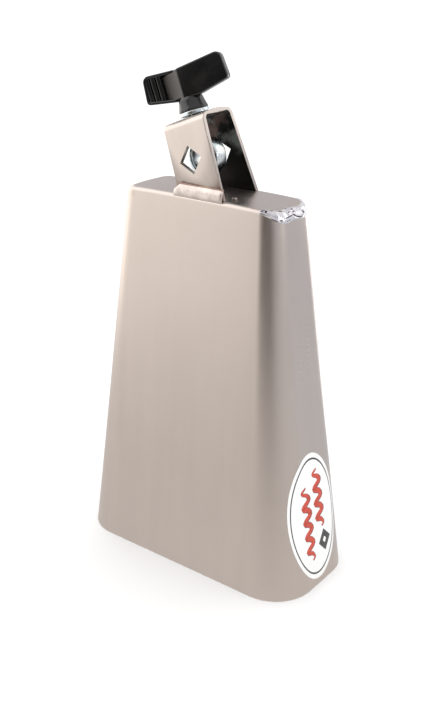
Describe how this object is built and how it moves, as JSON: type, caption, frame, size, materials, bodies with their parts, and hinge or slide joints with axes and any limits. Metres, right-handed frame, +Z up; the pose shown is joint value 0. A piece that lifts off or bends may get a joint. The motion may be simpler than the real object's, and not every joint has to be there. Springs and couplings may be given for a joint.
{
  "type": "cowbell",
  "caption": "Mountable clapperless cowbell: tapered folded steel bell with a leaning welded strap bracket, an eye bolt and a plastic wing nut that clamp it on a straight rod.",
  "frame": {"origin": "centre of the bell's mouth, in the plane of its rim, on the surface it stands on", "axes": "+Z up the bell's axis to the crown and bracket, +X along the wide direction towards the narrow side with the label, -Y is the front wide face; the rod runs along Y"},
  "size_m": [0.146, 0.069, 0.2703],
  "materials": {
    "bell_steel": "satin, brushed along the height",
    "weld_metal": "as welded, lightly dressed",
    "bracket_steel": "satin",
    "zinc_plate": "bright blue-white zinc",
    "insert_metal": "machined",
    "black_plastic": "gloss, moulded",
    "white_vinyl": "gloss, printed"
  },
  "bodies": {
    "bell": {"bell_shell": "bell_steel", "right_end_weld": "weld_metal", "left_end_weld": "weld_metal", "left_side_seam_weld": "weld_metal", "mounting_bracket": "bracket_steel", "front_bracket_weld": "weld_metal", "back_bracket_weld": "weld_metal", "weld_nub": "weld_metal", "oval_label": "white_vinyl"},
    "wing_nut": {"wing_nut": "black_plastic", "thread_insert": "insert_metal"},
    "eye_bolt": {"eye_bolt": "zinc_plate"},
    "washer": {"flat_washer": "zinc_plate"}
  },
  "joints": [
    {"name": "wing_nut_turn", "type": "hinge", "parent": "bell", "child": "wing_nut", "pos_m": [-0.01357, 0, 0.24488], "axis": [-0.3535, 0, 0.9354], "range_deg": [-720, 1800]},
    {"name": "eye_bolt_lift", "type": "slide", "parent": "bell", "child": "eye_bolt", "axis": [-0.3535, 0, 0.9354], "range_m": [-0.0064, 0.0026]},
    {"name": "washer_spin", "type": "hinge", "parent": "bell", "child": "washer", "pos_m": [-0.0118, 0, 0.24021], "axis": [-0.3535, 0, 0.9354], "continuous": true}
  ],
  "couplings": [
    {"joint": "eye_bolt_lift", "follows": "wing_nut_turn", "m_per_rad": -0.00019894}
  ]
}
